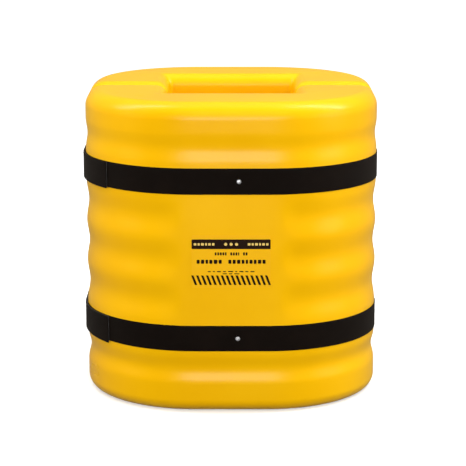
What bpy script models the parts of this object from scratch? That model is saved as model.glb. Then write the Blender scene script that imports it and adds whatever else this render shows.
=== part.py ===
"""Wrap-around column protector: two hollow ribbed plastic halves round a square column,
held by two hook-and-loop straps. Metres, +Z up, origin on the floor at the column's axis.
The halves meet on the plane Y = 0, and the labelled front faces -Y."""
import math

import bmesh
import bpy

# Overall shape
HEIGHT = 0.610
HALF_WIDTH = 0.2925
CORNER_RADIUS = 0.223
FLAT = HALF_WIDTH - CORNER_RADIUS
CORNER_STEPS = 9
TOP_ROUND = 0.033
BOTTOM_ROUND = 0.025
SEAM_TOP_ROUND = 0.028
LIP_ROUND = 0.024
EDGE_ROUND = 0.012
EDGE_STEPS = 3
WALL = 0.0033
GAP = 0.0003

# Opening for the column
OPENING_HALF = 0.130
OPENING_CORNER = 0.004
OPENING_CORNER_STEPS = 2

# Ribs: every valley is a groove of this depth, with its middle at these heights
VALLEY_DEPTH = 0.005
END_VALLEYS = (0.087, 0.523)
MID_VALLEYS = (0.222, 0.305, 0.388)
RIB_HALF_PITCH = 0.0415
END_RIB_HALF_PITCH = 0.031
LABEL_PANEL_HALF = 0.095
LABEL_PANEL_FADE = 0.030

# Locating bosses on the mating faces, and the sockets that they enter
BOSS_HEIGHTS = (0.200, 0.410)
BOSS_X = 0.205
BOSS_RADIUS = 0.016
BOSS_LENGTH = 0.014
BOSS_TAPER = 0.8
SOCKET_RADIUS = 0.0185
SOCKET_CUT = 0.020

# Straps
STRAP_HEIGHTS = {"upper": 0.460, "lower": 0.150}
STRAP_WIDTH = 0.051
WEBBING = 0.0015
PAD = 0.0005
INNER_LAYER = GAP
LOOP_LAYER = INNER_LAYER + WEBBING + GAP
HOOK_LAYER = LOOP_LAYER + PAD + GAP
TAIL_LAYER = HOOK_LAYER + PAD + GAP
SEAM_HINGE_Y = 0.004
REAR_HINGE_X = 0.0
TAIL_HINGE_ANGLE = 10.0
TAIL_END_ANGLE = 40.0
ARM_END_Y = 0.012
TAIL_DROOP = {"upper": 0.002, "lower": 0.004}
DROOP_AT_TOP = 0.3
PAD_MARGIN = 0.0015
PAD_START_Y = ARM_END_Y + 0.002

# Screws and label
SCREW_X = {"upper": 0.015, "lower": 0.013}
SCREW_HEAD_RADIUS = 0.0045
SCREW_HEAD_HEIGHT = 0.0022
SCREW_SHANK_RADIUS = 0.0022
SCREW_LENGTH = 0.012
SCREW_HOLE_CUT = 0.030
LABEL_WIDTH = 0.152
LABEL_HEIGHT = 0.104
LABEL_Z = 0.303
LABEL_THICKNESS = 0.0003

# Neighbouring sections closer than this are one section
LEVEL_SPACING = 0.0005
SHARP_ANGLE = math.radians(35)

COLOURS = {
    "yellow_plastic": ((0.90, 0.55, 0.01), 0.38, 0.0),
    "black_webbing": ((0.012, 0.009, 0.006), 0.85, 0.0),
    "loop_pile": ((0.010, 0.008, 0.006), 0.95, 0.0),
    "hook_tape": ((0.016, 0.013, 0.010), 0.70, 0.0),
    "zinc_steel": ((0.62, 0.62, 0.60), 0.32, 1.0),
    "label_film": ((0.92, 0.62, 0.03), 0.25, 0.0),
}


def clear_scene():
    for thing in list(bpy.data.objects):
        bpy.data.objects.remove(thing, do_unlink=True)


def collection(name):
    made = bpy.data.collections.new(name)
    bpy.context.scene.collection.children.link(made)
    return made


def material(name, colour_key):
    colour, roughness, metallic = COLOURS[colour_key]
    made = bpy.data.materials.new(name)
    made.use_nodes = True
    shader = made.node_tree.nodes["Principled BSDF"]
    shader.inputs["Base Color"].default_value = (*colour, 1.0)
    shader.inputs["Roughness"].default_value = roughness
    shader.inputs["Metallic"].default_value = metallic
    return made


def mesh_object(name, bm, group, colour_key):
    """Turn a bmesh into a named object with its own material."""
    bmesh.ops.recalc_face_normals(bm, faces=bm.faces)
    mesh = bpy.data.meshes.new(name)
    bm.to_mesh(mesh)
    bm.free()
    mesh.shade_smooth()
    mesh.set_sharp_from_angle(angle=SHARP_ANGLE)
    made = bpy.data.objects.new(name, mesh)
    group.objects.link(made)
    if colour_key:
        made.data.materials.append(material(name + "_finish", colour_key))
    else:
        made.hide_render = True
        made.display_type = "WIRE"
    return made


def arc(centre, radius, start, end, steps):
    """Points on an arc, angles in degrees, with both of its ends."""
    points = []
    for step in range(steps + 1):
        angle = math.radians(start + (end - start) * step / steps)
        points.append((centre[0] + radius * math.cos(angle), centre[1] + radius * math.sin(angle)))
    return points


def groove(z, middle, half_pitch):
    """A cosine groove: 1 at its middle, 0 at half_pitch from it and beyond."""
    away = min(abs(z - middle) / half_pitch, 1.0)
    return 0.5 + 0.5 * math.cos(math.pi * away)


def rib_inset(x, z):
    """How far the outer wall lies inside the crests at height z: the middle valleys fade out
    into the flat label panel."""
    inset = VALLEY_DEPTH * max(groove(z, middle, END_RIB_HALF_PITCH) for middle in END_VALLEYS)
    mid = VALLEY_DEPTH * max(groove(z, middle, RIB_HALF_PITCH) for middle in MID_VALLEYS)
    fade = (abs(x) - LABEL_PANEL_HALF) / LABEL_PANEL_FADE
    return max(inset, mid * min(max(fade, 0.0), 1.0))


def end_inset(z, radius):
    """Inset of a rounded edge of this radius at the top and bottom of the part."""
    depth = min(z, HEIGHT - z)
    if depth >= radius:
        return 0.0
    return radius - math.sqrt(max(radius ** 2 - (radius - depth) ** 2, 0.0))


def outer_inset(x, z):
    radius = BOTTOM_ROUND if z < HEIGHT / 2 else TOP_ROUND
    return rib_inset(x, z) + end_inset(z, radius)


def section(z, shrink):
    """Outline of the front half (Y < 0) at height z, as a closed list of points.
    shrink moves every wall into the plastic: the hollow is the same section, shrunk."""
    seam_round = BOTTOM_ROUND if z < HEIGHT / 2 else SEAM_TOP_ROUND
    mating = -GAP / 2 - end_inset(z, seam_round) - shrink
    side = HALF_WIDTH - outer_inset(HALF_WIDTH, z) - shrink
    points = arc((side - EDGE_ROUND, mating - EDGE_ROUND), EDGE_ROUND, 90, 0, EDGE_STEPS)
    for step in range(CORNER_STEPS + 1):
        angle = math.radians(-90.0 * step / CORNER_STEPS)
        crest_x = FLAT + CORNER_RADIUS * math.cos(angle)
        inset = outer_inset(crest_x, z) + shrink
        radius = CORNER_RADIUS - inset
        points.append((FLAT + radius * math.cos(angle), -FLAT + radius * math.sin(angle)))
    points += [(-x, y) for x, y in reversed(points)]
    inner = OPENING_HALF + end_inset(z, LIP_ROUND) + shrink
    opening = arc((-inner - EDGE_ROUND, mating - EDGE_ROUND), EDGE_ROUND, 90, 0, EDGE_STEPS)
    corner = (-inner + OPENING_CORNER, -inner + OPENING_CORNER)
    opening += arc(corner, OPENING_CORNER, 180, 270, OPENING_CORNER_STEPS)
    points += opening
    points += [(-x, y) for x, y in reversed(opening)]
    return points


def shell_levels():
    """Heights of the sections: close together at the rounded ends, even over the ribs."""
    bottom = [BOTTOM_ROUND * (1 - math.cos(math.radians(a))) for a in (0, 25, 45, 65, 90)]
    top = [HEIGHT - TOP_ROUND * (1 - math.cos(math.radians(a))) for a in (90, 65, 48, 35, 20, 0)]
    ribs = []
    for middle in END_VALLEYS:
        ribs += [middle + END_RIB_HALF_PITCH * part for part in (-1, -0.5, 0, 0.5, 1)]
    for middle in MID_VALLEYS:
        ribs += [middle + RIB_HALF_PITCH * part for part in (-1, -0.5, 0, 0.5)]
    ribs.append(MID_VALLEYS[-1] + RIB_HALF_PITCH)
    heights = sorted(bottom + ribs + top)
    return [z for i, z in enumerate(heights) if i == 0 or z - heights[i - 1] > LEVEL_SPACING]


def loft(name, sections, group, colour_key):
    """Close a stack of sections with the same number of points into one solid."""
    bm = bmesh.new()
    rings = [[bm.verts.new(point) for point in points] for points in sections]
    for low, high in zip(rings, rings[1:]):
        for i in range(len(low)):
            j = (i + 1) % len(low)
            bm.faces.new((low[i], low[j], high[j], high[i]))
    bm.faces.new(rings[0])
    bm.faces.new(rings[-1])
    return mesh_object(name, bm, group, colour_key)


def cylinder(name, radius_low, radius_high, length, centre, group, sides=20):
    """A cutter: a cone or cylinder along Y, with radius_low at its front end."""
    bm = bmesh.new()
    bmesh.ops.create_cone(
        bm, cap_ends=True, segments=sides, radius1=radius_low, radius2=radius_high, depth=length
    )
    made = mesh_object(name, bm, group, None)
    made.rotation_euler = (-math.pi / 2, 0, 0)
    made.location = centre
    return made


def boolean(target, tool, operation):
    modifier = target.modifiers.new(tool.name, "BOOLEAN")
    modifier.operation = operation
    modifier.solver = "EXACT"
    modifier.object = tool


def make_half(name, parts, cutters):
    """One hollow half, modelled as the front one, with its bosses on the right and its sockets
    on the left. The hollow is drawn in at both ends, which leaves the top and bottom walls."""
    levels = shell_levels()
    solid = [[(x, y, z) for x, y in section(z, 0.0)] for z in levels]
    half = loft(name, solid, parts, "yellow_plastic")
    scale = (HEIGHT - 2 * WALL) / HEIGHT
    hollow = [[(x, y, WALL + z * scale) for x, y in section(z, WALL)] for z in levels]
    boolean(half, loft(name + "_hollow", hollow, cutters, None), "DIFFERENCE")
    boss_start = -GAP - WALL / 2
    for index, z in enumerate(BOSS_HEIGHTS):
        socket = cylinder(f"{name}_socket_{index}", SOCKET_RADIUS, SOCKET_RADIUS, SOCKET_CUT,
                          (-BOSS_X, 0.0, z), cutters)
        boolean(half, socket, "DIFFERENCE")
        boss = cylinder(f"{name}_boss_{index}", BOSS_RADIUS, BOSS_RADIUS * BOSS_TAPER, BOSS_LENGTH,
                        (BOSS_X, boss_start + BOSS_LENGTH / 2, z), cutters)
        boolean(half, boss, "UNION")
    return half


def wrap_point(station, offset):
    """A point on the strap's route, offset outwards from the crests.
    station is a flat's name with the position on it, or a corner's number with the degrees
    round it. Corners and degrees run clockwise seen from above, and corner 0 is front right."""
    place, value = station
    reach = HALF_WIDTH + offset
    if place == "right":
        return (reach, value)
    if place == "front":
        return (value, -reach)
    if place == "left":
        return (-reach, value)
    if place == "rear":
        return (value, reach)
    angle = math.radians(-90.0 * place - value)
    cx = FLAT if place in (0, 3) else -FLAT
    cy = FLAT if place in (2, 3) else -FLAT
    radius = CORNER_RADIUS + offset
    return (cx + radius * math.cos(angle), cy + radius * math.sin(angle))


def corner_stations(corner, start=0.0, end=90.0):
    """Stations round one corner, at the same steps as the shell."""
    step = 90.0 / CORNER_STEPS
    values = []
    for i in range(CORNER_STEPS + 1):
        if start - 0.01 <= i * step <= end + 0.01:
            values.append(i * step)
    return [(corner, value) for value in values]


def band(name, stations, inner, thickness, height, parts, colour_key, width=STRAP_WIDTH, drop=None):
    """A strap piece: a strip that follows the stations, then solidified outwards.
    inner is one offset, or a list with one for each station; drop lowers each station."""
    offsets = inner if isinstance(inner, list) else [inner] * len(stations)
    drops = drop or [0.0] * len(stations)
    bm = bmesh.new()
    rings = []
    for station, offset, low in zip(stations, offsets, drops):
        inside = wrap_point(station, offset)
        outside = wrap_point(station, offset + thickness)
        bottom = height - width / 2 - low
        top = height + width / 2 - low * DROOP_AT_TOP
        ring = [(*inside, bottom), (*outside, bottom), (*outside, top), (*inside, top)]
        rings.append([bm.verts.new(point) for point in ring])
    for low, high in zip(rings, rings[1:]):
        for i in range(4):
            j = (i + 1) % 4
            bm.faces.new((low[i], low[j], high[j], high[i]))
    bm.faces.new(rings[0])
    bm.faces.new(rings[-1])
    return mesh_object(name, bm, parts, colour_key)


def make_strap(which, parts):
    """Front run and loop pad stay on the front half; the other pieces unwrap."""
    height = STRAP_HEIGHTS[which]
    droop = TAIL_DROOP[which]
    half_gap = GAP / 2
    pad_width = STRAP_WIDTH - 2 * PAD_MARGIN
    front = [("right", SEAM_HINGE_Y - half_gap), ("right", -EDGE_ROUND)]
    front += corner_stations(0) + corner_stations(1) + [("left", -ARM_END_Y)]
    band(which + "_strap_front_run", front, INNER_LAYER, WEBBING, height, parts, "black_webbing")

    loop = corner_stations(1, 90.0 - TAIL_END_ANGLE) + [("left", -PAD_START_Y)]
    band(which + "_strap_loop_pad", loop, LOOP_LAYER, PAD, height, parts, "loop_pile",
         width=pad_width)

    right = [("right", SEAM_HINGE_Y + half_gap), ("right", FLAT * 0.5)]
    right += list(reversed(corner_stations(3))) + [("rear", REAR_HINGE_X + half_gap)]
    band(which + "_strap_right_run", right, INNER_LAYER, WEBBING, height, parts, "black_webbing")

    gap_angle = math.degrees(half_gap / CORNER_RADIUS)
    rear = [("rear", REAR_HINGE_X - half_gap)]
    rear += list(reversed(corner_stations(2, TAIL_HINGE_ANGLE + 1.0)))
    rear += [(2, TAIL_HINGE_ANGLE + gap_angle)]
    band(which + "_strap_rear_run", rear, INNER_LAYER, WEBBING, height, parts, "black_webbing")

    step_up = [(0.050, 0.0), (0.036, 0.25), (0.022, 0.75), (0.008, 1.0)]
    tail = [(2, TAIL_HINGE_ANGLE - gap_angle), (2, 0.0)]
    offsets = [INNER_LAYER, INNER_LAYER]
    drops = [0.0, 0.0]
    for y, rise in step_up:
        tail.append(("left", y))
        offsets.append(INNER_LAYER + (TAIL_LAYER - INNER_LAYER) * rise)
        drops.append(0.0)
    over_front = list(reversed(corner_stations(1, 90.0 - TAIL_END_ANGLE)))
    for index, station in enumerate(over_front):
        tail.append(station)
        offsets.append(TAIL_LAYER)
        drops.append(droop * index / (len(over_front) - 1))
    band(which + "_strap_tail", tail, offsets, WEBBING, height, parts, "black_webbing", drop=drops)

    hook = [("left", -PAD_START_Y)] + over_front
    hook_drops = [0.0] + [droop * i / (len(over_front) - 1) for i in range(len(over_front))]
    band(which + "_strap_hook_pad", hook, HOOK_LAYER, PAD, height, parts, "hook_tape",
         width=pad_width, drop=hook_drops)


def drill_for_screws(half, run, which, cutters):
    """A clearance hole through the strap and the shell's wall."""
    place = (SCREW_X[which], -HALF_WIDTH, STRAP_HEIGHTS[which])
    hole = cylinder(which + "_screw_hole", SCREW_SHANK_RADIUS + GAP, SCREW_SHANK_RADIUS + GAP,
                    SCREW_HOLE_CUT, place, cutters, sides=12)
    boolean(half, hole, "DIFFERENCE")
    boolean(run, hole, "DIFFERENCE")


def make_screw(which, parts):
    """Pan head with a driving slot, and its shank, as one turned solid along Y."""
    seat = INNER_LAYER + WEBBING + GAP
    head = SCREW_HEAD_RADIUS
    rise = SCREW_HEAD_HEIGHT
    profile = [(0.0, rise), (head * 0.45, rise * 0.95), (head * 0.8, rise * 0.72),
               (head, rise * 0.25), (head, 0.0), (SCREW_SHANK_RADIUS, 0.0),
               (SCREW_SHANK_RADIUS, -SCREW_LENGTH + 0.002), (0.0, -SCREW_LENGTH)]
    bm = bmesh.new()
    points = [bm.verts.new((radius, 0.0, z)) for radius, z in profile]
    for first, second in zip(points, points[1:]):
        bm.edges.new((first, second))
    name = which + "_strap_screw"
    mesh = bpy.data.meshes.new(name)
    bm.to_mesh(mesh)
    bm.free()
    made = bpy.data.objects.new(name, mesh)
    parts.objects.link(made)
    made.data.materials.append(material(name + "_finish", "zinc_steel"))
    spin = made.modifiers.new("spin", "SCREW")
    spin.steps = 16
    spin.render_steps = 16
    spin.use_merge_vertices = True
    spin.merge_threshold = 0.00005
    made.rotation_euler = (math.pi / 2, 0, 0)
    made.location = (SCREW_X[which], -HALF_WIDTH - seat, STRAP_HEIGHTS[which])
    return made


def make_label(parts):
    bm = bmesh.new()
    bmesh.ops.create_cube(bm, size=1.0)
    bmesh.ops.scale(bm, vec=(LABEL_WIDTH, LABEL_THICKNESS, LABEL_HEIGHT), verts=bm.verts)
    made = mesh_object("label", bm, parts, "label_film")
    made.location = (0.0, -HALF_WIDTH - GAP - LABEL_THICKNESS / 2, LABEL_Z)
    return made


def main():
    clear_scene()
    parts = collection("column_protector")
    cutters = collection("cutters")
    front = make_half("front_half_shell", parts, cutters)
    rear = make_half("rear_half_shell", parts, cutters)
    rear.rotation_euler = (0, 0, math.pi)
    for cutter in list(cutters.objects):
        if cutter.name.startswith("rear_half_shell"):
            cutter.parent = rear
    for which in STRAP_HEIGHTS:
        make_strap(which, parts)
        run = bpy.data.objects[which + "_strap_front_run"]
        drill_for_screws(front, run, which, cutters)
        make_screw(which, parts)
    make_label(parts)


main()
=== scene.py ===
"""Looks for the wrap-around column protector: fine shells, webbing straps, label and screws,
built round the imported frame. Metres, +Z up, the labelled front faces -Y."""
import math

import bmesh
import bpy
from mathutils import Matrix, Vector, noise

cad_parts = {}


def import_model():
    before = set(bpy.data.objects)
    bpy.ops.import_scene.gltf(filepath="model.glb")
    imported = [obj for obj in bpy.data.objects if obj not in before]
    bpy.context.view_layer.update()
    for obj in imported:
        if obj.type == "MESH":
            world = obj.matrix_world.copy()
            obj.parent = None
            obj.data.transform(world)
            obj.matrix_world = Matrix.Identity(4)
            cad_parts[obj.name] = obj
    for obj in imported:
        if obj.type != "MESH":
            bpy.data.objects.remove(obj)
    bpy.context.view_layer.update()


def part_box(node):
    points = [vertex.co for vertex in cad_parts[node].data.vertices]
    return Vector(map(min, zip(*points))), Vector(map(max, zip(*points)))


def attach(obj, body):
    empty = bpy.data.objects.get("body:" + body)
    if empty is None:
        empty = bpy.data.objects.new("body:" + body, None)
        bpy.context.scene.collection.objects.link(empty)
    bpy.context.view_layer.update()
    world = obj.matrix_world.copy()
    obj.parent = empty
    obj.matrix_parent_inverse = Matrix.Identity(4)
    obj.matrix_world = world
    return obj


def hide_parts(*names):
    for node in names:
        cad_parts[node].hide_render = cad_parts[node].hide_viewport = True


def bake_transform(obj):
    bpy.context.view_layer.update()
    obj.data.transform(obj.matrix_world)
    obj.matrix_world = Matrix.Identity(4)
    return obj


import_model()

# Sizes read from the frame
shell_low, shell_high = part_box("front_half_shell")
HALF_WIDTH = shell_high[0]
HEIGHT = shell_high[2]
STRAPS = ("upper", "lower")
STRAP_Z = {}
for which in STRAPS:
    run_low, run_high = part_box(which + "_strap_front_run")
    STRAP_Z[which] = (run_low[2] + run_high[2]) / 2
STRAP_WIDTH = run_high[2] - run_low[2]

# The shells' outline, roundings and opening. Most are the CAD's sizes; the top of the seam and
# the opening's corners are rounder here.
CORNER_RADIUS = 0.223
FLAT = HALF_WIDTH - CORNER_RADIUS
TOP_ROUND = 0.033
BOTTOM_ROUND = 0.025
SEAM_TOP_ROUND = 0.036
LIP_ROUND = 0.024
EDGE_ROUND = 0.012
GAP = 0.0003
OPENING_HALF = 0.130
OPENING_CORNER = 0.010

# Valleys between the ribs: the heights of their middles, and the depths of the end ones
MID_VALLEYS = (0.222, 0.305, 0.388)
MID_VALLEY_DEPTH = 0.0048
END_VALLEYS = {0.087: 0.0055, 0.523: 0.0034}
RIB_HALF_PITCH = 0.0415
END_RIB_HALF_PITCH = 0.031
LABEL_PANEL_HALF = 0.095
LABEL_PANEL_FADE = 0.034

# Bosses and sockets on the mating faces
BOSS_HEIGHTS = (0.200, 0.410)
BOSS_X = 0.205
BOSS_RADIUS = 0.016
BOSS_ROOT = 0.004
BOSS_LENGTH = 0.016
SOCKET_RADIUS = 0.0185
SOCKET_DEPTH = 0.018
SOCKET_START = 0.001

# How finely the shells are built
CORNER_STEPS = 44
FLAT_STEPS = 14
SIDE_STEPS = 5
ROUND_STEPS = 9
ROUND_SIDES = 48
LEVEL_STEP = 0.0045
BOTTOM_ROUND_DEGREES = 6
TOP_ROUND_DEGREES = 5
SHELL_SHARP = 50.0

# The moulding's slight unevenness: its depth, and how often it changes per metre
MOULD_WOBBLE = 0.00035
WOBBLE_ACROSS = 7.0
WOBBLE_UP = 9.0
BAND_HALF = STRAP_WIDTH * 0.6

# Straps: the layers on the left side, and where the strap's pieces meet
WEBBING = 0.0015
PAD = 0.0005
INNER_LAYER = GAP
LOOP_LAYER = INNER_LAYER + WEBBING + GAP
HOOK_LAYER = LOOP_LAYER + PAD + GAP
TAIL_LAYER = HOOK_LAYER + PAD + GAP
TAIL_END_ANGLE = 40.0
ARM_END_Y = 0.012
TAIL_DROOP = {"upper": 0.002, "lower": 0.004}
TAIL_RISE_START = 0.050
TAIL_RISE_END = 0.008
PAD_SETBACK = 0.002
PAD_WIDTH = STRAP_WIDTH - 0.003
STRAP_STEP = 0.004
STRAP_COLUMNS = 14
SELVEDGE_STEPS = 5
STRAP_SHARP = 60.0
DENT_DEPTH = 0.0003
DENT_RADIUS = 0.008

# The outer and inner faces of a strap lie apart in its UV map
UV_OUTER = 0.1
UV_INNER = 0.3

# The weave's pitches along and across the strap
RIB_PITCH = 0.0021
YARN_PITCH = 0.0016

# Stitching near the tail's edges
STITCH_PITCH = 0.0042
STITCH_FILL = 0.72
STITCH_RADIUS = 0.00028
STITCH_RISE = 0.00022
STITCH_SINK = 0.00008
STITCH_STEPS = 6
STITCH_SIDES = 8
STITCH_EDGE = 0.004
STITCH_START = 0.004
STITCH_END = 0.006

# Screws: the head as shares of its radius and rise, the shank as radius and distance outwards
HEAD_RISE = 0.0022
HEAD_PROFILE = ((0.0, 1.0), (0.30, 0.985), (0.55, 0.93), (0.76, 0.80),
                (0.90, 0.60), (0.975, 0.36), (1.0, 0.14), (0.985, 0.0))
SHANK_PROFILE = ((0.0022, 0.0), (0.0022, -0.008), (0.0012, -0.0100), (0.0, -0.0102))
SLOT_LENGTH_SHARE = 1.5
SLOT_DEPTH = 0.0022
SLOT_WIDTH = 0.0011
SCREW_SHARP = 35.0

# Label print: heights above the floor, and sideways places from the label's middle
INK = 0.00006
LABEL_CORNER = 0.003
BAR = (0.328, 0.347)
BAR_CORNER = 0.0015
# Rows of dark blocks: half width, bottom, top, block widths (0 is a space)
DARK_ROWS = (
    (0.0315, 0.3155, 0.3215, (1, 1, 1, 1, 0.8, 0, 1, 1, 1, 0.6, 0, 1, 1)),
    (0.0665, 0.2990, 0.3070, (1, 1.1, 0.8, 1, 1.2, 1, 0, 1, 1, 1.1, 0.9, 0.8, 1, 0.9, 1.1, 1)),
    (0.045, 0.2826, 0.2846, (3, 0, 2, 0, 4, 0, 3, 0, 5, 0, 2, 0, 4, 0, 3, 0, 4)),
    (0.016, 0.2783, 0.2801, (4, 0, 3, 0, 5)),
)
BLOCK_SPACE = 1.3
BLOCK_GAP = 0.42
STRIPES = 16
STRIPE_PITCH = 0.0095
STRIPE_HALF = 0.0023
STRIPE_HEIGHTS = (0.257, 0.276)
STRIPE_SLANT = -0.0072
STRIPE_CORNER = 0.0002
# Pale blocks and discs on the bar
PALE_ENDS = (0.072, 0.032)
PALE_HEIGHTS = (0.3350, 0.3398)
PALE_WIDTHS = (1, 0.8, 1.1, 0.7, 1, 0.9)
DISCS = 3
DISC_PITCH = 0.0105
DISC_HALF = 0.0030
DISC_HEIGHTS = (0.3345, 0.3405)
DISC_CORNER = 0.0029

# Camera, and the points that the lights face
CAMERA_PLACE = (0.00365, -3.9601, 1.1463)
CAMERA_PITCH = 0.2113
CAMERA_LENS = 150.9
MIDDLE = (0.0, 0.0, 0.4)
FRONT_MIDDLE = (0.0, 0.0, 0.3)
FLOOR_HALF = 20.0
FLOOR_DROP = 0.0005


# ---------------------------------------------------------------- helpers

def smooth(value):
    """An S-shaped rise from 0 to 1."""
    value = min(max(value, 0.0), 1.0)
    return value * value * (3 - 2 * value)


def shade(mesh, sharp_angle):
    """Smooth shading, with edges sharper than the angle in degrees kept sharp."""
    mesh.shade_smooth()
    mesh.set_sharp_from_angle(angle=math.radians(sharp_angle))


def add_object(name, mesh, material, sharp_angle):
    shade(mesh, sharp_angle)
    made = bpy.data.objects.new(name, mesh)
    bpy.context.scene.collection.objects.link(made)
    made.data.materials.append(material)
    return made


def from_lists(name, verts, faces, material, sharp_angle):
    mesh = bpy.data.meshes.new(name)
    mesh.from_pydata(verts, [], faces)
    mesh.validate()
    mesh.update()
    return add_object(name, mesh, material, sharp_angle)


def from_bmesh(name, bm, material, sharp_angle=40.0):
    bmesh.ops.recalc_face_normals(bm, faces=bm.faces)
    mesh = bpy.data.meshes.new(name)
    bm.to_mesh(mesh)
    bm.free()
    return add_object(name, mesh, material, sharp_angle)


def apply_tools(piece, tools, sharp_angle):
    """Apply a piece's boolean modifiers, so that its mesh is final, and drop their tools."""
    graph = bpy.context.evaluated_depsgraph_get()
    final = bpy.data.meshes.new_from_object(piece.evaluated_get(graph))
    piece.modifiers.clear()
    piece.data = final
    for tool in tools:
        bpy.data.objects.remove(tool)
    shade(piece.data, sharp_angle)


# ---------------------------------------------------------------- materials

class Nodes:
    """A small helper to wire a material's nodes."""

    def __init__(self, name):
        self.material = bpy.data.materials.new(name)
        self.material.use_nodes = True
        self.tree = self.material.node_tree
        self.shader = self.tree.nodes["Principled BSDF"]

    def add(self, kind, **values):
        node = self.tree.nodes.new(kind)
        for key, value in values.items():
            setattr(node, key, value)
        return node

    def link(self, source, target):
        self.tree.links.new(source, target)

    def coordinates(self, kind="Object", scale=(1.0, 1.0, 1.0)):
        source = self.add("ShaderNodeTexCoord")
        mapping = self.add("ShaderNodeMapping")
        mapping.inputs["Scale"].default_value = scale
        self.link(source.outputs[kind], mapping.inputs["Vector"])
        return mapping.outputs["Vector"]

    def noise(self, vector, scale, detail=3.0, roughness=0.5):
        node = self.add("ShaderNodeTexNoise")
        node.inputs["Scale"].default_value = scale
        node.inputs["Detail"].default_value = detail
        node.inputs["Roughness"].default_value = roughness
        self.link(vector, node.inputs["Vector"])
        return node.outputs["Fac"]

    def span(self, value, low_in, high_in, low_out, high_out):
        node = self.add("ShaderNodeMapRange")
        self.link(value, node.inputs["Value"])
        node.inputs["From Min"].default_value = low_in
        node.inputs["From Max"].default_value = high_in
        node.inputs["To Min"].default_value = low_out
        node.inputs["To Max"].default_value = high_out
        return node.outputs["Result"]

    def math(self, operation, first, second=None):
        node = self.add("ShaderNodeMath", operation=operation)
        for index, value in enumerate((first, second)):
            if value is None:
                continue
            if isinstance(value, (int, float)):
                node.inputs[index].default_value = value
            else:
                self.link(value, node.inputs[index])
        return node.outputs["Value"]

    def mix(self, factor, first, second):
        node = self.add("ShaderNodeMix", data_type="RGBA")
        self.link(factor, node.inputs["Factor"])
        for socket, value in ((6, first), (7, second)):  # the colour sockets A and B
            if isinstance(value, tuple):
                node.inputs[socket].default_value = (*value, 1.0)
            else:
                self.link(value, node.inputs[socket])
        return node.outputs[2]

    def bump(self, height, strength, distance, before=None):
        node = self.add("ShaderNodeBump")
        node.inputs["Strength"].default_value = strength
        node.inputs["Distance"].default_value = distance
        self.link(height, node.inputs["Height"])
        if before is not None:
            self.link(before, node.inputs["Normal"])
        return node.outputs["Normal"]

    def set(self, **values):
        for key, value in values.items():
            name = key.replace("_", " ").title().replace("Ior", "IOR")
            socket = self.shader.inputs[name]
            if isinstance(value, (int, float, tuple)):
                socket.default_value = value
            else:
                self.link(value, socket)


def moulded_plastic():
    """Yellow polyethylene: semi-gloss, faint orange peel, fine mould grain, a few dull rubs."""
    n = Nodes("yellow_polyethylene")
    place = n.coordinates()
    cloud = n.noise(place, 5.0, 4.0)
    peel = n.noise(place, 160.0, 2.0)
    grain = n.noise(place, 1400.0, 2.0)
    streak = n.noise(n.coordinates(scale=(2.0, 2.0, 60.0)), 6.0, 5.0, 0.65)
    rubs = n.span(streak, 0.60, 0.72, 0.0, 1.0)
    base = n.mix(n.span(cloud, 0.35, 0.65, 0.0, 1.0), (0.92, 0.470, 0.0010), (0.96, 0.510, 0.0016))
    worn = n.mix(n.math("MULTIPLY", rubs, 0.08), base, (0.97, 0.60, 0.02))
    rough = n.math("ADD", n.span(cloud, 0.3, 0.7, 0.27, 0.33), n.math("MULTIPLY", rubs, 0.08))
    normal = n.bump(peel, 0.25, 0.0004)
    normal = n.bump(grain, 0.18, 0.00012, normal)
    n.set(base_color=worn, roughness=rough, normal=normal)
    n.shader.inputs["IOR"].default_value = 1.45
    n.shader.inputs["Specular IOR Level"].default_value = 0.26
    return n.material


def webbing_material(name, yarn_colour):
    """Black polypropylene webbing: ribs across the strap with yarns twilled along it."""
    n = Nodes(name)
    split = n.add("ShaderNodeSeparateXYZ")
    n.link(n.coordinates("UV"), split.inputs[0])
    along, across = split.outputs[0], split.outputs[1]
    rib = n.math("SINE", n.math("MULTIPLY", along, 2 * math.pi / RIB_PITCH))
    yarn = n.math("SINE", n.math("MULTIPLY", across, 2 * math.pi / YARN_PITCH))
    twill_phase = n.math("ADD", n.math("MULTIPLY", along, math.pi / RIB_PITCH),
                         n.math("MULTIPLY", across, math.pi / YARN_PITCH))
    twill = n.math("SINE", twill_phase)
    weave = n.math("ADD", n.math("MULTIPLY", rib, yarn), n.math("MULTIPLY", twill, 0.6))
    fuzz = n.noise(n.coordinates(), 2600.0, 3.0)
    soiling = n.noise(n.coordinates(), 22.0, 4.0)
    height = n.math("ADD", n.span(weave, -1.6, 1.6, 0.0, 1.0), n.math("MULTIPLY", fuzz, 0.35))
    # Painted shade: dark, the yarn colour at 0.55, goes where the weave's bump is low, so the
    # weave's hollows are painted darker than its raised yarns.
    dark = tuple(c * 0.55 for c in yarn_colour)
    dusty = tuple(c * 1.7 for c in yarn_colour)
    yarns = n.mix(n.span(weave, -1.2, 1.2, 0.0, 1.0), dark, yarn_colour)
    colour = n.mix(n.span(soiling, 0.45, 0.75, 0.0, 0.35), yarns, dusty)
    n.set(base_color=colour, roughness=n.span(fuzz, 0.3, 0.7, 0.62, 0.82),
          normal=n.bump(height, 0.7, 0.0004))
    n.shader.inputs["Specular IOR Level"].default_value = 0.16
    n.shader.inputs["Sheen Weight"].default_value = 0.02
    n.shader.inputs["Sheen Roughness"].default_value = 0.45
    n.shader.inputs["Sheen Tint"].default_value = (1.0, 0.78, 0.52, 1.0)
    return n.material


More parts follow.
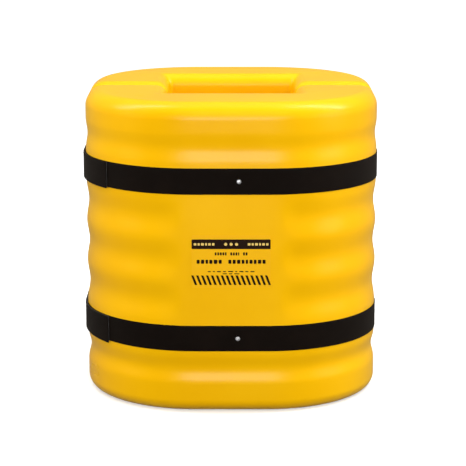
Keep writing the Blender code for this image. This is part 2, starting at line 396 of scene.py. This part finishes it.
def pile_material(name, colour, cell, strength):
    """Loop pile or hook tape: a dense field of tiny cells, each about one cell size across."""
    n = Nodes(name)
    cells = n.add("ShaderNodeTexVoronoi")
    cells.inputs["Scale"].default_value = 1.0 / cell
    n.link(n.coordinates("UV"), cells.inputs["Vector"])
    fuzz = n.noise(n.coordinates(), 1900.0, 3.0)
    # Painted light and shade: the cell middles, which the bump raises, are painted lighter, and the
    # low gaps between the cells darker.
    tone = n.mix(n.span(cells.outputs["Distance"], 0.0, 0.7, 0.0, 1.0),
                 tuple(c * 1.6 for c in colour), tuple(c * 0.5 for c in colour))
    height = n.math("ADD", n.math("MULTIPLY", cells.outputs["Distance"], -1.0),
                    n.math("MULTIPLY", fuzz, 0.5))
    n.set(base_color=tone, roughness=n.span(fuzz, 0.3, 0.7, 0.75, 0.95),
          normal=n.bump(height, strength, 0.0006))
    n.shader.inputs["Sheen Weight"].default_value = 0.25
    n.shader.inputs["Sheen Roughness"].default_value = 0.6
    return n.material


def steel_material():
    """Zinc-plated steel with turned marks."""
    n = Nodes("zinc_steel")
    marks = n.noise(n.coordinates(scale=(1.0, 1.0, 8.0)), 900.0, 3.0)
    patches = n.noise(n.coordinates(), 350.0, 3.0)
    colour = n.mix(n.span(patches, 0.3, 0.7, 0.0, 1.0), (0.78, 0.78, 0.80), (0.90, 0.90, 0.88))
    n.set(base_color=colour, metallic=0.7, roughness=n.span(marks, 0.3, 0.7, 0.34, 0.48),
          normal=n.bump(marks, 0.15, 0.00005))
    return n.material


def film_material():
    """The label's yellow film: as yellow as the moulding, flatter and more even."""
    n = Nodes("label_film")
    place = n.coordinates()
    ripple = n.noise(place, 45.0, 2.0)
    tint = n.noise(place, 90.0, 3.0)
    colour = n.mix(n.span(tint, 0.3, 0.7, 0.0, 1.0), (0.940, 0.489, 0.0012), (0.946, 0.493, 0.0014))
    n.set(base_color=colour, roughness=n.span(tint, 0.3, 0.7, 0.28, 0.30),
          normal=n.bump(ripple, 0.04, 0.0003))
    n.shader.inputs["Specular IOR Level"].default_value = 0.40
    return n.material


def ink_material(name, colour):
    """Printed ink with slight density changes."""
    n = Nodes(name)
    density = n.noise(n.coordinates(), 700.0, 3.0)
    thin = tuple(min(c * 1.35, 1.0) for c in colour)
    tone = n.mix(n.span(density, 0.3, 0.7, 0.0, 1.0), colour, thin)
    n.set(base_color=tone, roughness=n.span(density, 0.3, 0.7, 0.34, 0.46))
    n.shader.inputs["Specular IOR Level"].default_value = 0.15
    return n.material


PLASTIC = moulded_plastic()
WEBBING_BLACK = webbing_material("black_webbing", (0.0060, 0.0032, 0.0018))
THREAD = webbing_material("black_thread", (0.012, 0.008, 0.006))
LOOP_PILE = pile_material("loop_pile", (0.014, 0.011, 0.009), 0.0011, 0.9)
HOOK_TAPE = pile_material("hook_tape", (0.018, 0.015, 0.012), 0.0016, 1.0)
STEEL = steel_material()
FILM = film_material()
INK_DARK = ink_material("label_ink_dark", (0.011, 0.0035, 0.0010))
INK_PALE = ink_material("label_ink_pale", (0.72, 0.52, 0.14))


# ---------------------------------------------------------------- shells

def arc(centre, radius, start, end, steps):
    """Points on an arc from one angle to another, in degrees."""
    points = []
    for step in range(steps + 1):
        angle = math.radians(start + (end - start) * step / steps)
        points.append((centre[0] + radius * math.cos(angle), centre[1] + radius * math.sin(angle)))
    return points


def groove(z, middle, half_pitch):
    """1 in the middle of a valley, falling to 0 on the crests."""
    away = min(abs(z - middle) / half_pitch, 1.0)
    return 0.5 + 0.5 * math.cos(math.pi * away)


def rib_inset(x, z):
    """Depth of the ribs' valleys; the middle ones fade out into the label's flat panel."""
    end = max(depth * groove(z, middle, END_RIB_HALF_PITCH) for middle, depth in END_VALLEYS.items())
    mid = MID_VALLEY_DEPTH * max(groove(z, middle, RIB_HALF_PITCH) for middle in MID_VALLEYS)
    return max(end, mid * smooth((abs(x) - LABEL_PANEL_HALF) / LABEL_PANEL_FADE))


def end_inset(z, radius):
    """How far a rounded rim draws a wall in near the top or the bottom."""
    depth = min(z, HEIGHT - z)
    if depth >= radius:
        return 0.0
    return radius - math.sqrt(max(radius ** 2 - (radius - depth) ** 2, 0.0))


def outer_inset(x, z):
    """How far the outer wall lies inside the crests' outline."""
    radius = BOTTOM_ROUND if z < HEIGHT / 2 else TOP_ROUND
    return rib_inset(x, z) + end_inset(z, radius)


def wobble(x, y, z):
    """The slight unevenness of a blown moulding, always inwards and nothing at the bands."""
    raw = noise.noise(Vector((x * WOBBLE_ACROSS, y * WOBBLE_ACROSS, z * WOBBLE_UP))) * 0.5 + 0.5
    on_band = min(abs(z - STRAP_Z[which]) for which in STRAPS) < BAND_HALF
    return 0.0 if on_band else MOULD_WOBBLE * raw


def section(z):
    """Outline of the front half at height z: outer wall, left mating face, opening, right face."""
    seam_round = BOTTOM_ROUND if z < HEIGHT / 2 else SEAM_TOP_ROUND
    mating = -GAP / 2 - end_inset(z, seam_round)
    side = HALF_WIDTH - outer_inset(HALF_WIDTH, z)
    half = arc((side - EDGE_ROUND, mating - EDGE_ROUND), EDGE_ROUND, 90, 0, ROUND_STEPS)
    for step in range(1, SIDE_STEPS):
        y = (mating - EDGE_ROUND) + (-FLAT - mating + EDGE_ROUND) * step / SIDE_STEPS
        half.append((side, y))
    for step in range(CORNER_STEPS + 1):
        angle = math.radians(-90.0 * step / CORNER_STEPS)
        crest_x = FLAT + CORNER_RADIUS * math.cos(angle)
        radius = CORNER_RADIUS - outer_inset(crest_x, z)
        x, y = FLAT + radius * math.cos(angle), -FLAT + radius * math.sin(angle)
        pull = wobble(x, y, z) * math.sin(math.radians(90.0 * step / CORNER_STEPS))
        half.append((x - pull * math.cos(angle), y - pull * math.sin(angle)))
    for step in range(1, FLAT_STEPS // 2 + 1):
        x = FLAT * (1 - 2 * step / FLAT_STEPS)
        half.append((x, -HALF_WIDTH + outer_inset(x, z) + wobble(0.0, -HALF_WIDTH, z)))
    points = half + [(-x, y) for x, y in reversed(half[:-1])]
    inner = OPENING_HALF + end_inset(z, LIP_ROUND)
    opening = arc((-inner - EDGE_ROUND, mating - EDGE_ROUND), EDGE_ROUND, 90, 0, ROUND_STEPS)
    corner = (-inner + OPENING_CORNER, -inner + OPENING_CORNER)
    opening += arc(corner, OPENING_CORNER, 180, 270, ROUND_STEPS)
    points += opening
    points += [(-x, y) for x, y in reversed(opening)]
    return points


def levels():
    """Heights of the sections, closer together on the rounded rims."""
    rounds = [BOTTOM_ROUND * (1 - math.cos(math.radians(a)))
              for a in range(0, 91, BOTTOM_ROUND_DEGREES)]
    rounds += [HEIGHT - TOP_ROUND * (1 - math.cos(math.radians(a)))
               for a in range(0, 91, TOP_ROUND_DEGREES)]
    wall = HEIGHT - TOP_ROUND - BOTTOM_ROUND
    count = int(wall / LEVEL_STEP)
    middle = [BOTTOM_ROUND + wall * i / count for i in range(1, count)]
    return sorted(rounds + middle)


def tube(bm, rings):
    """Join rings of vertices into a closed tube, with a flat face on each end."""
    sides = len(rings[0])
    for low, high in zip(rings, rings[1:]):
        for i in range(sides):
            j = (i + 1) % sides
            bm.faces.new((low[i], low[j], high[j], high[i]))
    bm.faces.new(rings[0])
    bm.faces.new(rings[-1])


def pin(bm, radius, tip_radius, length, place, direction):
    """A round boss or socket plug along Y, tapered, with a rounded tip."""
    profile = ((0.0, radius), (length * 0.82, tip_radius * 1.04),
               (length * 0.94, tip_radius * 0.97), (length, tip_radius * 0.82))
    rings = []
    for depth, size in profile:
        ring = []
        for i in range(ROUND_SIDES):
            a = 2 * math.pi * i / ROUND_SIDES
            ring.append(bm.verts.new((place[0] + size * math.cos(a), place[1] + direction * depth,
                                      place[2] + size * math.sin(a))))
        rings.append(ring)
    tube(bm, rings)


def add_boolean(piece, bm, operation):
    """Add a boolean modifier with its own tool to a piece, and return the tool."""
    tool = from_bmesh(piece.name + "_tool", bm, PLASTIC)
    modifier = piece.modifiers.new(operation, "BOOLEAN")
    modifier.operation = operation
    modifier.solver = "EXACT"
    modifier.object = tool
    return tool


def shell(name, node, body, turned):
    """One half's fine skin, with its bosses and sockets. The rear one is the front one turned
    half way round."""
    heights = levels()
    sections = [section(z) for z in heights]
    count = len(sections[0])
    verts = [(x, y, z) for z, points in zip(heights, sections) for x, y in points]
    faces = []
    for row in range(len(heights) - 1):
        for i in range(count):
            j = (i + 1) % count
            a, b = row * count, (row + 1) * count
            faces.append((a + j, a + i, b + i, b + j))
    faces.append(tuple(range(count)))
    last = (len(heights) - 1) * count
    faces.append(tuple(last + count - 1 - i for i in range(count)))
    piece = from_lists(name, verts, faces, PLASTIC, SHELL_SHARP)
    sockets, bosses = bmesh.new(), bmesh.new()
    for z in BOSS_HEIGHTS:
        pin(sockets, SOCKET_RADIUS, SOCKET_RADIUS * 0.94, SOCKET_DEPTH,
            (-BOSS_X, SOCKET_START, z), -1)
        pin(bosses, BOSS_RADIUS, BOSS_RADIUS * 0.8, BOSS_LENGTH, (BOSS_X, -BOSS_ROOT, z), 1)
    tools = [add_boolean(piece, sockets, "DIFFERENCE"), add_boolean(piece, bosses, "UNION")]
    apply_tools(piece, tools, SHELL_SHARP)
    if turned:
        for vert in piece.data.vertices:
            vert.co.x, vert.co.y = -vert.co.x, -vert.co.y
    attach(piece, body)
    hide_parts(node)


shell("front_shell_skin", "front_half_shell", "front_half", False)
shell("rear_shell_skin", "rear_half_shell", "rear_half", True)


# ---------------------------------------------------------------- straps

QUARTER = CORNER_RADIUS * math.pi / 2
# Distances along the strap's route, clockwise seen from above, from the right side's middle
FRONT_RIGHT = FLAT
FRONT_FLAT = FRONT_RIGHT + QUARTER
FRONT_LEFT = FRONT_FLAT + 2 * FLAT
LEFT_FLAT = FRONT_LEFT + QUARTER
LEFT_MIDDLE = LEFT_FLAT + FLAT
REAR_LEFT = LEFT_FLAT + 2 * FLAT
REAR_FLAT = REAR_LEFT + QUARTER
REAR_RIGHT = REAR_FLAT + 2 * FLAT
RIGHT_FLAT = REAR_RIGHT + QUARTER
FULL_TURN = RIGHT_FLAT + FLAT

# Each stretch: where it ends, its start or its corner's centre, its direction, its start angle
STRETCHES = (
    (FRONT_RIGHT, (HALF_WIDTH, 0.0), (0, -1), None),
    (FRONT_FLAT, (FLAT, -FLAT), None, 0.0),
    (FRONT_LEFT, (FLAT, -HALF_WIDTH), (-1, 0), None),
    (LEFT_FLAT, (-FLAT, -FLAT), None, -90.0),
    (REAR_LEFT, (-HALF_WIDTH, -FLAT), (0, 1), None),
    (REAR_FLAT, (-FLAT, FLAT), None, -180.0),
    (REAR_RIGHT, (-FLAT, HALF_WIDTH), (1, 0), None),
    (RIGHT_FLAT, (FLAT, FLAT), None, -270.0),
    (FULL_TURN, (HALF_WIDTH, FLAT), (0, -1), None),
)


def route(distance, offset):
    """A point on the crests' outline, moved outwards by the offset."""
    d = distance % FULL_TURN
    start = 0.0
    for end, anchor, direction, angle in STRETCHES:
        if d <= end + 1e-9:
            along = d - start
            if direction:
                x = anchor[0] + direction[0] * along
                y = anchor[1] + direction[1] * along
                return Vector((x - direction[1] * offset, y + direction[0] * offset))
            turn = math.radians(angle) - along / CORNER_RADIUS
            reach = CORNER_RADIUS + offset
            return Vector((anchor[0] + math.cos(turn) * reach, anchor[1] + math.sin(turn) * reach))
        start = end
    raise ValueError("distance beyond the route")


def strap_section(width, thickness):
    """Outline of a strap as points (across, out). The selvedges are rounded."""
    half, radius = width / 2, thickness / 2
    points = []
    for i in range(STRAP_COLUMNS + 1):
        points.append((-half + radius + (width - thickness) * i / STRAP_COLUMNS, thickness))
    for i in range(1, SELVEDGE_STEPS):
        a = math.radians(90 - 180 * i / SELVEDGE_STEPS)
        points.append((half - radius + radius * math.cos(a), radius + radius * math.sin(a)))
    for i in range(STRAP_COLUMNS + 1):
        points.append((half - radius - (width - thickness) * i / STRAP_COLUMNS, 0.0))
    for i in range(1, SELVEDGE_STEPS):
        a = math.radians(-90 - 180 * i / SELVEDGE_STEPS)
        points.append((-half + radius + radius * math.cos(a), radius + radius * math.sin(a)))
    return points


def ribbon(name, start, end, offset_at, height, material, width, thickness, drop_at=None,
           press=None):
    """A strap from start to end along the route. offset_at gives its inner face's offset, drop_at
    how far it hangs below its level, press the dent round a screw."""
    steps = max(int(abs(end - start) / STRAP_STEP), 2)
    outline = strap_section(width, thickness)
    count = len(outline)
    verts, uvs, faces = [], [], []
    for step in range(steps + 1):
        d = start + (end - start) * step / steps
        inner = offset_at(d)
        low = drop_at(d) if drop_at else 0.0
        for across, out in outline:
            share = 0.5 - across / width
            dent = press(d, across, out / thickness) if press else 0.0
            point = route(d, inner + out - dent)
            verts.append((point.x, point.y, height + across - low * (0.3 + 0.7 * share)))
            uvs.append((d, across + (UV_OUTER if out > thickness / 2 else UV_INNER)))
    for step in range(steps):
        for i in range(count):
            j = (i + 1) % count
            a, b = step * count, (step + 1) * count
            faces.append((a + i, a + j, b + j, b + i))
    faces.append(tuple(range(count)))
    faces.append(tuple(steps * count + count - 1 - i for i in range(count)))
    piece = from_lists(name, verts, faces, material, STRAP_SHARP)
    layer = piece.data.uv_layers.new(name="strap")
    for loop in piece.data.loops:
        layer.data[loop.index].uv = uvs[loop.vertex_index]
    bm = bmesh.new()
    bm.from_mesh(piece.data)
    bmesh.ops.recalc_face_normals(bm, faces=bm.faces)
    bm.to_mesh(piece.data)
    bm.free()
    return piece


def stitch_row(bm, start, end, offset, height, across, drop_at):
    """A row of thread stitches along the strap, each a small raised capsule."""
    count = int(abs(end - start) / STITCH_PITCH)
    for i in range(count):
        middle = start + (end - start) * (i + 0.5) / count
        rings = []
        for step in range(STITCH_STEPS + 1):
            share = step / STITCH_STEPS
            d = middle + (share - 0.5) * STITCH_PITCH * STITCH_FILL
            radius = STITCH_RADIUS * (0.25 + 0.75 * math.sin(math.pi * share))
            lift = STITCH_RISE * math.sin(math.pi * share) - STITCH_SINK
            ring = []
            for side in range(STITCH_SIDES):
                a = 2 * math.pi * side / STITCH_SIDES
                point = route(d, offset + lift + radius * math.cos(a))
                ring.append(bm.verts.new((point.x, point.y,
                                          height + across - drop_at(d) + radius * math.sin(a))))
            rings.append(ring)
        tube(bm, rings)


TAIL_END = FRONT_LEFT + CORNER_RADIUS * math.radians(90 - TAIL_END_ANGLE)
ARM_END = LEFT_MIDDLE - ARM_END_Y
REAR_LEFT_MID = REAR_LEFT + QUARTER / 2
REAR_RIGHT_MID = REAR_RIGHT + QUARTER / 2


def tail_offset(d):
    """The tail lies on the shell behind the seam and steps out over the pads in front of it."""
    rise = smooth((LEFT_MIDDLE + TAIL_RISE_START - d) / (TAIL_RISE_START - TAIL_RISE_END))
    return INNER_LAYER + (TAIL_LAYER - INNER_LAYER) * rise


def bend(piece):
    """Bake a strap piece's transform into its mesh; the piece is not bent or folded here."""
    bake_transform(piece)


def tail_stitching(which, height, drop_at):
    """Two rows of thread along the tail, near its edges."""
    stitches = bmesh.new()
    side = STRAP_WIDTH / 2 - STITCH_EDGE
    for across in (-side, side):
        stitch_row(stitches, TAIL_END + STITCH_START, ARM_END - STITCH_END, TAIL_LAYER + WEBBING,
                   height, across, drop_at)
    thread = from_bmesh(which + "_tail_stitching", stitches, THREAD)
    layer = thread.data.uv_layers.new(name="strap")
    for corner in thread.data.loops:
        co = thread.data.vertices[corner.vertex_index].co
        layer.data[corner.index].uv = (co.y, co.z)
    return thread


def strap(which):
    """One strap: its three webbing pieces, the pads under the tail and the tail's stitching."""
    height = STRAP_Z[which]
    droop = TAIL_DROOP[which]
    screw_low, screw_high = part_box(which + "_strap_screw")
    screw_x = (screw_low[0] + screw_high[0]) / 2
    screw_at = FRONT_FLAT + FLAT - screw_x
    names = {part: f"{which}_strap_{part}" for part in
             ("front_run", "right_run", "rear_run", "tail", "loop_pad", "hook_pad")}
    bodies = {part: f"{which}_{part}" for part in ("right_run", "rear_run", "tail")}

    def tail_drop(d):
        share = (LEFT_MIDDLE - d) / (LEFT_MIDDLE - TAIL_END)
        return droop * min(max(share, 0.0), 1.0)

    def dent(d, across, out):
        away = math.hypot(d - screw_at, across)
        return DENT_DEPTH * out * math.exp(-(away / DENT_RADIUS) ** 2)

    front = ribbon(which + "_webbing_front", REAR_RIGHT_MID - FULL_TURN, ARM_END,
                   lambda d: INNER_LAYER, height, WEBBING_BLACK, STRAP_WIDTH, WEBBING, press=dent)
    bend(front)
    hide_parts(names["front_run"], names["right_run"])

    middle = ribbon(which + "_webbing_rear", REAR_LEFT_MID, REAR_RIGHT_MID,
                    lambda d: INNER_LAYER, height, WEBBING_BLACK, STRAP_WIDTH, WEBBING)
    bend(middle)
    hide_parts(names["rear_run"])

    tail = ribbon(which + "_webbing_tail", TAIL_END, REAR_LEFT_MID, tail_offset, height,
                  WEBBING_BLACK, STRAP_WIDTH, WEBBING, drop_at=tail_drop)
    bend(tail)
    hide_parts(names["tail"])

    pad_end = ARM_END - PAD_SETBACK
    loop = ribbon(which + "_loop_pile", TAIL_END, pad_end, lambda d: LOOP_LAYER, height,
                  LOOP_PILE, PAD_WIDTH, PAD)
    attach(loop, "front_half")
    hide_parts(names["loop_pad"])
    hook = ribbon(which + "_hook_tape", TAIL_END, pad_end, lambda d: HOOK_LAYER, height,
                  HOOK_TAPE, PAD_WIDTH, PAD, drop_at=tail_drop)
    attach(hook, bodies["tail"])
    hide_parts(names["hook_pad"])

    thread = tail_stitching(which, height, tail_drop)
    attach(thread, bodies["tail"])


for which in STRAPS:
    strap(which)


# ---------------------------------------------------------------- screws

def screw(which):
    """Pan-head screw: domed head with a driving slot, over a short shank."""
    low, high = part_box(which + "_strap_screw")
    x, z = (low[0] + high[0]) / 2, (low[2] + high[2]) / 2
    radius = (high[0] - low[0]) / 2
    seat = low[1] + HEAD_RISE
    profile = [(across * radius, out * HEAD_RISE) for across, out in HEAD_PROFILE]
    profile += SHANK_PROFILE
    bm = bmesh.new()
    rows = []
    for size, out in profile:
        if size == 0.0:
            rows.append([bm.verts.new((x, seat - out, z))])
            continue
        row = []
        for i in range(ROUND_SIDES):
            a = 2 * math.pi * i / ROUND_SIDES
            row.append(bm.verts.new((x + size * math.cos(a), seat - out, z + size * math.sin(a))))
        rows.append(row)
    for first, second in zip(rows, rows[1:]):
        for i in range(ROUND_SIDES):
            j = (i + 1) % ROUND_SIDES
            if len(first) == 1:
                corners = (first[0], second[j], second[i])
            elif len(second) == 1:
                corners = (first[i], first[j], second[0])
            else:
                corners = (first[i], first[j], second[j], second[i])
            bm.faces.new(corners)
    piece = from_bmesh(which + "_screw", bm, STEEL)
    slot = bmesh.new()
    bmesh.ops.create_cube(slot, size=1.0)
    bmesh.ops.scale(slot, vec=(radius * SLOT_LENGTH_SHARE, SLOT_DEPTH, SLOT_WIDTH),
                    verts=slot.verts)
    bmesh.ops.translate(slot, vec=(x, low[1], z), verts=slot.verts)
    tool = add_boolean(piece, slot, "DIFFERENCE")
    apply_tools(piece, [tool], SCREW_SHARP)
    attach(piece, "front_half")
    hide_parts(which + "_strap_screw")


for which in STRAPS:
    screw(which)


# ---------------------------------------------------------------- label

LABEL_LOW, LABEL_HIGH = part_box("label")
LABEL_FRONT = LABEL_LOW[1]


def rounded_slab(bm, left, right, bottom, top, front, thickness, radius, slant=0.0, steps=4):
    """A thin plate facing -Y with rounded corners; slant shifts its top edge sideways."""
    outline = []
    corners = ((right, top, 0), (left, top, 90), (left, bottom, 180), (right, bottom, 270))
    for cx, cz, start in corners:
        centre_x = cx - radius if start in (0, 270) else cx + radius
        centre_z = cz - radius if start in (0, 90) else cz + radius
        for px, pz in arc((centre_x, centre_z), radius, start, start + 90, steps):
            share = (pz - bottom) / (top - bottom)
            outline.append((px + slant * (share - 0.5), pz))
    near = [bm.verts.new((px, front, pz)) for px, pz in outline]
    far = [bm.verts.new((px, front + thickness, pz)) for px, pz in outline]
    for i in range(len(near)):
        j = (i + 1) % len(near)
        bm.faces.new((near[i], near[j], far[j], far[i]))
    bm.faces.new(near)
    bm.faces.new(far)


def block_row(bm, left, right, heights, widths, front):
    """A row of plain blocks in place of words. A width of 0 is a space."""
    bottom, top = heights
    total = sum(w if w else BLOCK_SPACE for w in widths) + BLOCK_GAP * (len(widths) - 1)
    unit = (right - left) / total
    x = left
    for w in widths:
        if w:
            radius = min((top - bottom) * 0.22, w * unit * 0.3)
            rounded_slab(bm, x, x + w * unit, bottom, top, front, INK, radius)
        x += ((w if w else BLOCK_SPACE) + BLOCK_GAP) * unit


def label():
    """The film with its print: dark ink on the film, and pale ink on the dark bar."""
    bm = bmesh.new()
    film_front = LABEL_FRONT + INK * 2
    rounded_slab(bm, LABEL_LOW[0], LABEL_HIGH[0], LABEL_LOW[2], LABEL_HIGH[2], film_front,
                 LABEL_HIGH[1] - film_front, LABEL_CORNER, steps=6)
    film = from_bmesh("label_film", bm, FILM)
    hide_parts("label")

    dark = bmesh.new()
    front = LABEL_FRONT + INK
    half = (LABEL_HIGH[0] - LABEL_LOW[0]) / 2
    rounded_slab(dark, -half, half, *BAR, front, INK, BAR_CORNER)
    for row_half, bottom, top, widths in DARK_ROWS:
        block_row(dark, -row_half, row_half, (bottom, top), widths, front)
    for i in range(STRIPES):
        middle = (i - (STRIPES - 1) / 2) * STRIPE_PITCH
        rounded_slab(dark, middle - STRIPE_HALF, middle + STRIPE_HALF, *STRIPE_HEIGHTS, front,
                     INK, STRIPE_CORNER, slant=STRIPE_SLANT)
    ink = from_bmesh("label_print_dark", dark, INK_DARK)

    pale = bmesh.new()
    for sign in (-1, 1):
        left, right = sorted(sign * end for end in PALE_ENDS)
        block_row(pale, left, right, PALE_HEIGHTS, PALE_WIDTHS, LABEL_FRONT)
    for i in range(DISCS):
        middle = (i - (DISCS - 1) / 2) * DISC_PITCH
        rounded_slab(pale, middle - DISC_HALF, middle + DISC_HALF, *DISC_HEIGHTS, LABEL_FRONT,
                     INK, DISC_CORNER)
    marks = from_bmesh("label_print_pale", pale, INK_PALE)
    for piece in (film, ink, marks):
        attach(piece, "front_half")


label()


# ---------------------------------------------------------------- stage, light and camera

def stage():
    """A plain white floor. It glows more away from the object, where the lamps reach less."""
    bm = bmesh.new()
    bmesh.ops.create_grid(bm, x_segments=2, y_segments=2, size=FLOOR_HALF)
    n = Nodes("studio_floor")
    soft = n.noise(n.coordinates(), 2.0, 3.0)
    n.set(base_color=n.mix(n.span(soft, 0.3, 0.7, 0.0, 1.0), (0.88, 0.88, 0.88), (0.90, 0.90, 0.90)),
          roughness=0.9)
    n.shader.inputs["Specular IOR Level"].default_value = 0.1
    n.shader.inputs["Emission Color"].default_value = (1.0, 1.0, 1.0, 1.0)
    away = n.add("ShaderNodeVectorMath", operation="LENGTH")
    n.link(n.coordinates(), away.inputs[0])
    glow = n.span(away.outputs["Value"], 0.3, 1.6, 0.35, 0.95)
    n.link(glow, n.shader.inputs["Emission Strength"])
    floor = from_bmesh("studio_floor", bm, n.material)
    floor.location.z = -FLOOR_DROP
    floor.visible_glossy = False
    floor.visible_diffuse = False


def area_light(name, place, target, size, power, glossy=True, diffuse=True):
    """A rectangular lamp that faces its target, with its power in watts."""
    data = bpy.data.lights.new(name, "AREA")
    data.shape = "RECTANGLE"
    data.size, data.size_y = size
    data.energy = power
    lamp = bpy.data.objects.new(name, data)
    lamp.location = place
    lamp.rotation_euler = (Vector(target) - Vector(place)).to_track_quat("-Z", "Y").to_euler()
    lamp.visible_glossy = glossy
    lamp.visible_diffuse = diffuse
    bpy.context.scene.collection.objects.link(lamp)


def world():
    """A studio that is dim in front of the object and brighter behind it."""
    made = bpy.data.worlds.new("studio")
    bpy.context.scene.world = made
    made.use_nodes = True
    tree = made.node_tree
    background = tree.nodes["Background"]
    background.inputs["Color"].default_value = (1.0, 1.0, 1.0, 1.0)
    place = tree.nodes.new("ShaderNodeTexCoord")
    split = tree.nodes.new("ShaderNodeSeparateXYZ")
    tree.links.new(place.outputs["Generated"], split.inputs[0])
    ramp = tree.nodes.new("ShaderNodeMapRange")
    ramp.inputs["From Min"].default_value = -0.70
    ramp.inputs["From Max"].default_value = 0.30
    ramp.inputs["To Min"].default_value = 0.013
    ramp.inputs["To Max"].default_value = 0.265
    tree.links.new(split.outputs["Y"], ramp.inputs["Value"])
    tree.links.new(ramp.outputs["Result"], background.inputs["Strength"])


def camera():
    data = bpy.data.cameras.new("camera")
    data.sensor_width = 36.0
    data.lens = CAMERA_LENS
    made = bpy.data.objects.new("camera", data)
    made.location = CAMERA_PLACE
    made.rotation_euler = (math.pi / 2 - CAMERA_PITCH, 0.0, 0.0)
    bpy.context.scene.collection.objects.link(made)
    bpy.context.scene.camera = made


stage()
world()
area_light("overhead", (0.0, 0.5, 2.8), MIDDLE, (2.0, 1.6), 16.0, glossy=False)
area_light("front_high", (0.0, -2.2, 2.6), MIDDLE, (1.6, 0.8), 8.0, glossy=False)
area_light("left_box", (-1.5, -0.1, 2.35), MIDDLE, (0.22, 2.0), 28.0)
area_light("right_box", (1.5, -0.1, 2.35), MIDDLE, (0.22, 2.0), 40.0)
area_light("front_fill", (0.0, -4.4, 1.5), FRONT_MIDDLE, (3.2, 1.6), 142.0, glossy=False)
area_light("left_fill", (-3.0, -1.2, 1.0), FRONT_MIDDLE, (1.5, 1.5), 30.0, glossy=False)
area_light("right_fill", (3.0, -1.2, 1.0), FRONT_MIDDLE, (1.5, 1.5), 40.0, glossy=False)
area_light("front_strip", (0.0, -4.2, 0.9), MIDDLE, (1.9, 0.22), 36.0, diffuse=False)
camera()
bpy.context.scene.view_settings.view_transform = "Standard"
